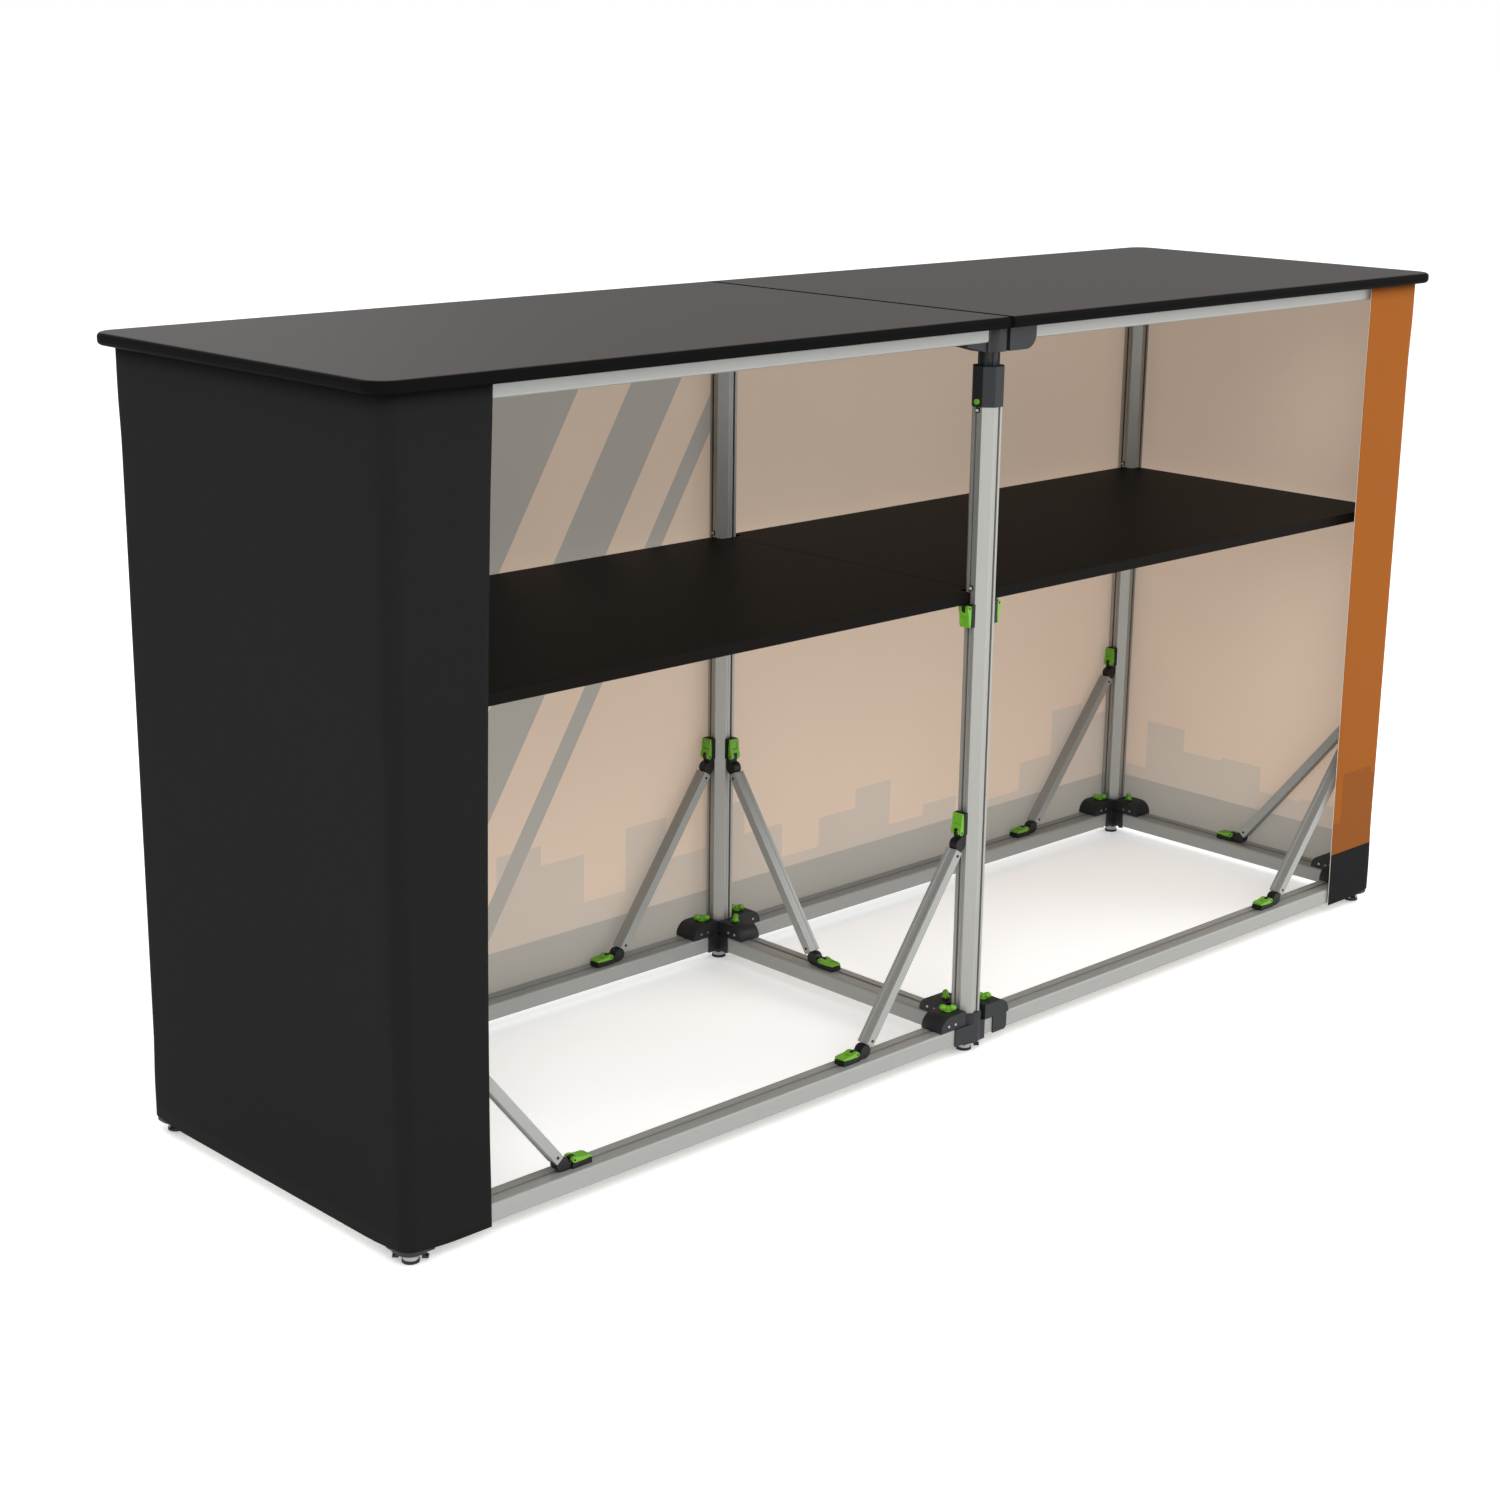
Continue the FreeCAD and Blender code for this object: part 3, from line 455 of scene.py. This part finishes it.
def printed_fabric(name, field, block, dark, painted_glow):
    # Knitted polyester, dye printed: matt, with a fine knit. The inside glows in its own colours: painted
    # light for light through the cloth.
    material, shader = new_material(name, field, roughness=0.85, ior=1.2)
    flat = add(material, "ShaderNodeUVMap", {}, uv_map="flat").outputs["UV"]
    black, blocks = print_masks(material, flat)
    # The knit is drawn at 4 mm, coarser than the real loops, so that it shows at this distance.
    knit = add(material, "ShaderNodeTexBrick", {"Vector": flat, "Scale": per_metre(4.0), "Mortar Size": 0.03})
    cloud = add(material, "ShaderNodeTexNoise", {"Vector": flat, "Scale": per_metre(300), "Detail": 3.0})
    ground = add(material, "ShaderNodeMix", {0: blocks, 6: linear(field), 7: linear(block)}, data_type="RGBA")
    inks = add(material, "ShaderNodeMix", {0: black, 6: ground.outputs[2], 7: linear(dark)}, data_type="RGBA")
    shade = add(material, "ShaderNodeMapRange", {
        "Value": cloud.outputs["Fac"], "To Min": 0.95, "To Max": 1.04})
    uneven = add(material, "ShaderNodeMix", {0: 1.0, 6: inks.outputs[2], 7: shade.outputs["Result"]},
                 data_type="RGBA", blend_type="MULTIPLY")
    join(material, uneven.outputs[2], shader, "Base Color")
    # Painted light: the surface glows in its own colours, though it is no lamp.
    if painted_glow:
        join(material, uneven.outputs[2], shader, "Emission Color")
        shader.inputs["Emission Strength"].default_value = painted_glow
    relief = add(material, "ShaderNodeBump", {
        "Height": knit.outputs["Fac"], "Strength": 0.35, "Distance": 0.2 * MM})
    join(material, relief.outputs["Normal"], shader, "Normal")
    return material


def hem_tape():
    # Pale silicone edging sewn round the free edges.
    material, shader = new_material("pale_hem_tape", "#d8d4cd", roughness=0.5)
    speckle(material, shader, "#dcd8d1", "#cbc6be", size_mm=1.0, roughness=(0.42, 0.58), bump_mm=0.05)
    return material


def fabric_skin():
    """The printed skin with its hem, held at the head and foot nodes."""
    bm, length = skin_mesh()
    outside = printed_fabric("print_outside", "#8e5019", "#80491b", "#161616", painted_glow=0)
    # The inside glows: painted light that lifts the shade in the bays under the shelf and worktop.
    inside = printed_fabric("print_inside", "#ad9b8b", "#9f9489", "#88847d", painted_glow=0.65)
    skin = mesh_object("stretch_skin", bm, outside, inside, hem_tape())
    smooth(skin)
    wall = skin.modifiers.new("thickness", "SOLIDIFY")
    wall.thickness = SKIN_THICKNESS
    wall.offset = -1
    wall.material_offset = 1
    wall.material_offset_rim = 2
    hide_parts("fabric_skin")
    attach(skin, "frame")


def stand_in(node, mesh, matrix, bevel_mm):
    """A green moulding in a CAD node's place, riding on the same body."""
    obj = bpy.data.objects.new(node + "_moulding", mesh.copy())
    obj.data.transform(matrix)
    obj.data.materials.clear()
    obj.data.materials.append(GREEN_PLASTIC)
    scene.collection.objects.link(obj)
    for polygon in obj.data.polygons:
        polygon.use_smooth = True
    edge_break(obj, bevel_mm, segments=3).harden_normals = True
    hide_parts(node)
    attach(obj, node)


# Clamp levers: the width, the side outline in millimetres from the pivot, and what is cut from it as the
# stretch along the grip, the width and the stretch away from the clamp. The cuts are a slot for the clamp's
# lug and a shallow panel in the grip.
LEVER_WIDTH = 18 * MM
LEVER_SIDE = [(-3.2, -1.7), (-1.7, -3.2), (1.2, -3.7), (7, -3.6), (16, -3.6), (28, -2.5), (28, -0.5),
              (21.5, 1.0), (14.5, 1.1), (9, 1.8), (5, 3.3), (1.6, 3.7), (-1.9, 3.2), (-3.5, 1.1)]
LEVER_CUTS = [((-5.6, 6.4), 7.0, (-12, 12)), ((12, 24.5), 11.0, (0.0, 5))]
LEVER_BEVEL_MM = 0.7


def lever_frame(node):
    """A matrix from the lever's own axes (x along the grip, z away from the clamp) to its place."""
    joint = joints[node]
    pivot = Vector(joint["pos_m"])
    axis = Vector(joint["axis"])
    low, high = (Vector(corner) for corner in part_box(node))
    reach = (low + high) / 2 - pivot
    reach -= axis * reach.dot(axis)
    longest = max(range(3), key=lambda i: abs(reach[i]))
    grip = Vector([math.copysign(1, reach[i]) if i == longest else 0 for i in range(3)])
    out = axis.cross(grip)
    turn = Matrix((grip, -axis, out)).transposed().to_4x4()
    return Matrix.Translation(pivot) @ turn


def lever_blank():
    """A lever before it is cut: its side outline drawn across its width."""
    bm = bmesh.new()
    side = [bm.verts.new((x * MM, -LEVER_WIDTH / 2, z * MM)) for x, z in LEVER_SIDE]
    face = bm.faces.new(side)
    grown = bmesh.ops.extrude_face_region(bm, geom=[face])["geom"]
    verts = [item for item in grown if isinstance(item, bmesh.types.BMVert)]
    bmesh.ops.translate(bm, verts=verts, vec=(0, LEVER_WIDTH, 0))
    bmesh.ops.recalc_face_normals(bm, faces=list(bm.faces))
    return bm


def lever_cutter():
    """The blocks that are cut from a lever."""
    bm = bmesh.new()
    for (start, end), width, (low, high) in LEVER_CUTS:
        centre = Vector((start + end, 0, low + high)) * MM / 2
        size = Vector((end - start, width, high - low, 1 / MM)) * MM
        bmesh.ops.create_cube(bm, size=1.0, matrix=Matrix.Translation(centre) @ Matrix.Diagonal(size))
    return bm


def cut_mesh(name, blank, cutter):
    """The blank with the cutter's shape taken out, as a plain mesh."""
    body = mesh_object(name + "_blank", blank)
    tool = mesh_object(name + "_cutter", cutter)
    boolean = body.modifiers.new("cut", "BOOLEAN")
    boolean.object = tool
    boolean.operation = "DIFFERENCE"
    mesh = bpy.data.meshes.new_from_object(body.evaluated_get(bpy.context.evaluated_depsgraph_get()))
    for obj in (body, tool):
        bpy.data.objects.remove(obj)
    return mesh


def levers():
    """One lever shape on every clamp."""
    mesh = cut_mesh("lever", lever_blank(), lever_cutter())
    for node in moving("lever"):
        stand_in(node, mesh, lever_frame(node), LEVER_BEVEL_MM)


# Wing knobs, in millimetres from the joint on the hood: a wing's radius, how its ball is squeezed and where
# its middle lies, and the waist, flange and stem as diameter, low end and high end.
WING_RADIUS = 5.6
WING_SQUEEZE = (1.05, 0.82, 0.86)
WING_REACH, WING_HEIGHT = 7.0, 5.2
KNOB_ROUNDS = [(9.0, 1.8, 7.2), (13.0, 0.3, 2.1), (6.0, -13.4, 0.3)]
KNOB_BEVEL_MM = 0.6
# How the wings stand to the arm.
WING_TURN = math.radians(-45)


def knob_mesh():
    """A wing knob: two round wings joined by a waist, on a flange and a stem."""
    bm = bmesh.new()
    for side in (-1, 1):
        wing = bmesh.ops.create_uvsphere(bm, u_segments=24, v_segments=16, radius=WING_RADIUS * MM)["verts"]
        bmesh.ops.scale(bm, verts=wing, vec=WING_SQUEEZE)
        bmesh.ops.translate(bm, verts=wing, vec=(side * WING_REACH * MM, 0, WING_HEIGHT * MM))
    for diameter, low, high in KNOB_ROUNDS:
        made = bmesh.ops.create_cone(bm, cap_ends=True, segments=32, radius1=diameter / 2 * MM,
                                     radius2=diameter / 2 * MM, depth=(high - low) * MM)
        bmesh.ops.translate(bm, verts=made["verts"], vec=(0, 0, (high + low) / 2 * MM))
    mesh = bpy.data.meshes.new("knob")
    bm.to_mesh(mesh)
    bm.free()
    return mesh


def arm_of(knob):
    """The foot of the post that a wing knob's arm starts from, and the way the arm points."""
    place = Vector(joints[knob]["pos_m"])
    post = Vector((round(place.x), math.copysign(POST_ROW, place.y), 0))
    return post, Vector((place.x - post.x, place.y - post.y, 0)).normalized()


def knobs():
    """One knob shape on every arm of the foot nodes."""
    mesh = knob_mesh()
    for node in moving("wing_knob"):
        _, ahead = arm_of(node)
        turn = math.atan2(ahead.y, ahead.x) + WING_TURN
        place = Matrix.Translation(joints[node]["pos_m"]) @ Matrix.Rotation(turn, 4, "Z")
        stand_in(node, mesh, place, KNOB_BEVEL_MM)


def pegs(name, places, size_mm, material):
    """Like pins or rivet heads as one piece: each place is a foot point and the way it points."""
    diameter, height = (measure * MM for measure in size_mm)
    bm = bmesh.new()
    for foot, way in places:
        turn = way.to_track_quat("Z", "Y").to_matrix().to_4x4()
        stand = Matrix.Translation(foot + way * (height / 2)) @ turn
        bmesh.ops.create_cone(bm, cap_ends=True, segments=20, radius1=diameter / 2,
                              radius2=diameter / 2 * PEG_TAPER, depth=height, matrix=stand)
    piece = mesh_object(name, bm, material)
    smooth(piece)
    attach(piece, "frame")


def hood_rivets():
    """Two rivets low on each side of each hood, apart from the side of a middle hood that a strip widens."""
    places = []
    for node in moving("wing_knob"):
        post, ahead = arm_of(node)
        has_strip = "middle" in node and ahead.x * post.y < 0
        for side in both_sides(ahead):
            if has_strip and side.y * post.y > 0:
                continue
            foot = post + side * HOOD_HALF + Vector((0, 0, RIVET_HEIGHT))
            places += [(foot + ahead * reach, side) for reach in RIVET_REACHES]
    pegs("hood_rivets", places, HOOD_RIVET, STEEL)


def post_pins():
    """A pale pin in a dark seat, in the slot below each push button and just above each shelf corner."""
    shelf_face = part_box("shelf_left")[1][2]
    places = []
    for node in moving("lock_button"):
        low, high = (Vector(corner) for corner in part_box(node))
        middle = (low + high) / 2
        post = Vector((round(middle.x), middle.y, 0))
        way = Vector((math.copysign(1, middle.x - post.x), 0, 0))
        for height in (low.z - PIN_BELOW_BUTTON, shelf_face + PIN_ABOVE_SHELF):
            places.append((Vector((post.x, post.y, height)) + way * SLOT_FLOOR, way))
    pegs("pin_seats", places, PIN_SEAT, BLACK_PLASTIC)
    pegs("post_pins", places, POST_PIN, PALE_PLASTIC)


def strut_rivets():
    """A dark rivet near each end of each brace, on both sides."""
    places = []
    for lever in moving("brace_lever"):
        if not lever.endswith("upper"):
            continue
        upper = Vector(joints[lever]["pos_m"])
        lower = Vector(joints[lever.replace("upper", "lower")]["pos_m"])
        plan = Vector((lower.x - upper.x, lower.y - upper.y, 0)).normalized()
        top = upper + plan * KNUCKLE_FROM_UPPER.x + Vector((0, 0, KNUCKLE_FROM_UPPER.y))
        foot = lower + plan * KNUCKLE_FROM_LOWER.x + Vector((0, 0, KNUCKLE_FROM_LOWER.y))
        run = (foot - top).normalized()
        for point in (top + run * STRUT_RIVET_INSET, foot - run * STRUT_RIVET_INSET):
            places += [(point + side * STRUT_HALF, side) for side in both_sides(plan)]
    pegs("strut_rivets", places, STRUT_RIVET, BLACK_PLASTIC)


def trim_blocks(name, blocks, material, bevel_mm):
    """Like small blocks as one piece with softened edges: each is a matrix on a unit cube."""
    bm = bmesh.new()
    for block in blocks:
        bmesh.ops.create_cube(bm, size=1.0, matrix=block)
    piece = mesh_object(name, bm, material)
    edge_break(piece, bevel_mm, segments=2)
    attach(piece, "frame")


def block_between(low, high):
    """The matrix that makes a unit cube fill a box."""
    low, high = Vector(low), Vector(high)
    return Matrix.Translation((low + high) / 2) @ Matrix.Diagonal((high - low).to_4d())


def neck_ribs():
    """Upright ribs round the neck of each head node."""
    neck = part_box("post_sleeves")[1][2]
    rib = block_between(NECK_RIB_LOW, NECK_RIB_HIGH)
    spacing = 2 * math.pi / NECK_RIBS
    ring = [Matrix.Rotation(spacing * (step + 0.5), 4, "Z") @ rib for step in range(NECK_RIBS)]
    blocks = [Matrix.Translation((column, row, neck)) @ block
              for column in COLUMNS for row in ROWS for block in ring]
    trim_blocks("neck_ribs", blocks, GREY_PLASTIC, bevel_mm=0.5)


def slot_ridges():
    """The ridge along the floor of each slot of the posts, and along the floor beams' upper slots."""
    low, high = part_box("posts")[0][2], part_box("posts")[1][2]
    ridge = block_between((SLOT_FLOOR, -RIDGE_HALF, low), (SLOT_FLOOR + RIDGE_RISE, RIDGE_HALF, high))
    blocks = [Matrix.Translation((column, row, 0)) @ Matrix.Rotation(math.pi / 2 * step, 4, "Z") @ ridge
              for column in COLUMNS for row in ROWS for step in range(4)]
    trim_blocks("post_slot_ridges", blocks, UPRIGHT_METAL, bevel_mm=0.4)
    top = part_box("base_beams")[1][2]
    low, high = top - SLOT_DEPTH, top - SLOT_DEPTH + RIDGE_RISE
    along = block_between((BEAM_START, -RIDGE_HALF, low), (1 - BEAM_START, RIDGE_HALF, high))
    reach = POST_ROW - BEAM_START
    across = block_between((-RIDGE_HALF, -reach, low), (RIDGE_HALF, reach, high))
    blocks = [Matrix.Translation((start, row, 0)) @ along for start in (-1, 0) for row in ROWS]
    blocks += [Matrix.Translation((column, 0, 0)) @ across for column in COLUMNS]
    trim_blocks("beam_slot_ridges", blocks, LONG_METAL, bevel_mm=0.4)


def node_laps():
    """The cheeks of each foot node beside its beams, where they face into a bay."""
    low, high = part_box("base_beams")[0][2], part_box("base_beams")[1][2]
    blocks = []
    for node in moving("wing_knob"):
        post, ahead = arm_of(node)
        for side in both_sides(ahead):
            if side.x * post.x > 0 or side.y * post.y > 0:
                continue
            start = post + ahead * LAP_START + side * BEAM_HALF
            end = post + ahead * LAP_END + side * (BEAM_HALF + LAP_THICKNESS)
            (west, east), (south, north) = sorted((start.x, end.x)), sorted((start.y, end.y))
            blocks.append(block_between((west, south, low), (east, north, high)))
    trim_blocks("node_laps", blocks, GREY_PLASTIC, bevel_mm=0.6)


# The studio: the floor's half size in metres and its glow, and the lamps by name, place, size in metres and
# power in watts, all aimed at one point.
FLOOR_HALF = 80
FLOOR_GLOW = 0.3
LAMPS = [
    ("key_lamp", (-2.6, -3.4, 3.6), 2.6, 90),
    ("side_lamp", (3.2, -2.6, 2.6), 2.4, 50),
    ("back_lamp", (0.5, 3.6, 3.2), 3.0, 25),
]
LAMP_AIM = Vector((0, 0, 0.5))
# The photograph's camera: where it looks, from how far, and how wide.
LOOK_AT = Vector((-0.189, 0.0, 0.433))
CAMERA_AZIMUTH = math.radians(-44.01)
CAMERA_ELEVATION = math.radians(15.78)
CAMERA_ROLL = math.radians(0.72)
CAMERA_DISTANCE = 3.732
CAMERA_LENS, CAMERA_SENSOR = 62.22, 36


def studio_light():
    """A pale floor, a white sky and broad soft lamps."""
    bm = bmesh.new()
    bmesh.ops.create_grid(bm, x_segments=1, y_segments=1, size=FLOOR_HALF)
    floor_paint, shader = new_material("lit_floor", "#f8f8f7", roughness=0.9)
    shader.inputs["Emission Color"].default_value = (1, 1, 1, 1)
    shader.inputs["Emission Strength"].default_value = FLOOR_GLOW
    mesh_object("studio_floor", bm, floor_paint)
    world = bpy.data.worlds.new("soft_sky")
    world.use_nodes = True
    world.node_tree.nodes["Background"].inputs["Color"].default_value = (1, 1, 1, 1)
    world.node_tree.nodes["Background"].inputs["Strength"].default_value = 1.0
    scene.world = world
    for name, place, size, power in LAMPS:
        lamp = bpy.data.lights.new(name, "AREA")
        lamp.size = size
        lamp.energy = power
        obj = bpy.data.objects.new(name, lamp)
        obj.location = place
        obj.rotation_euler = (LAMP_AIM - Vector(place)).to_track_quat("-Z", "Y").to_euler()
        scene.collection.objects.link(obj)


def photo_camera():
    """The photograph's camera."""
    back = Vector((math.sin(CAMERA_AZIMUTH) * math.cos(CAMERA_ELEVATION),
                   -math.cos(CAMERA_AZIMUTH) * math.cos(CAMERA_ELEVATION), math.sin(CAMERA_ELEVATION)))
    camera = bpy.data.objects.new("camera", bpy.data.cameras.new("camera"))
    camera.location = LOOK_AT + back * CAMERA_DISTANCE
    camera.rotation_mode = "QUATERNION"
    camera.rotation_quaternion = (-back).to_track_quat("-Z", "Y") @ Quaternion((0, 0, 1), CAMERA_ROLL)
    camera.data.lens = CAMERA_LENS
    camera.data.sensor_width = CAMERA_SENSOR
    scene.collection.objects.link(camera)
    scene.camera = camera
    scene.view_settings.view_transform = "Standard"


finishes()
fabric_skin()
levers()
knobs()
hood_rivets()
post_pins()
strut_rivets()
neck_ribs()
slot_ridges()
node_laps()
studio_light()
photo_camera()
bpy.context.view_layer.update()
